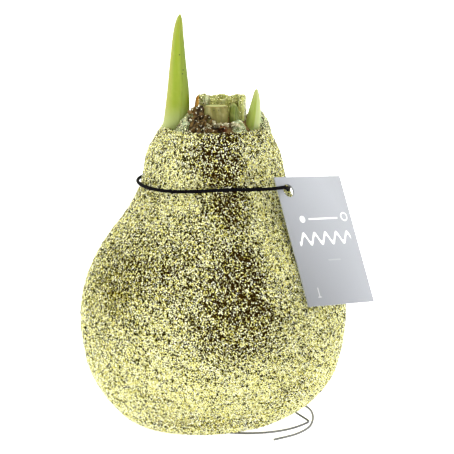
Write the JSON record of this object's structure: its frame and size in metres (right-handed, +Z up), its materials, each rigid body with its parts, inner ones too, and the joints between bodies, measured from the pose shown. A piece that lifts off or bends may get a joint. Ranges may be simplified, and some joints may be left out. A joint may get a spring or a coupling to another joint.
{
  "type": "waxed amaryllis bulb",
  "caption": "Pear-shaped amaryllis bulb in a coat of glittered wax, with a cut neck, green shoots, an elastic with a card tag round the neck and a wire stand under its flat foot.",
  "frame": {"origin": "on the surface that the foot stands on, below the middle of the bulb's widest part", "axes": "+Z up along the bulb, -Y to the front, +X to the side where the tag hangs"},
  "size_m": [0.1099, 0.1005, 0.1559],
  "materials": {
    "wax": "translucent wax under a dense coat of pale gold glitter",
    "tunic": "dry brown papery bulb scales",
    "leaf": "waxy yellow-green leaf",
    "cut_leaf": "cut pale green leaf bases, moist",
    "dark_leaf": "dark green bud",
    "elastic": "black round elastic, woven cover",
    "card": "silver satin print on card",
    "wire": "bare drawn steel wire"
  },
  "bodies": {
    "root": {"wax_coat": "wax", "bulb": "tunic", "leaf_bases": "cut_leaf", "neck_stump": "cut_leaf", "shoot_tall": "leaf", "shoot_short": "leaf", "shoot_bud": "dark_leaf", "neck_elastic": "elastic", "tag": "card", "wire_stand": "wire"}
  },
  "joints": []
}
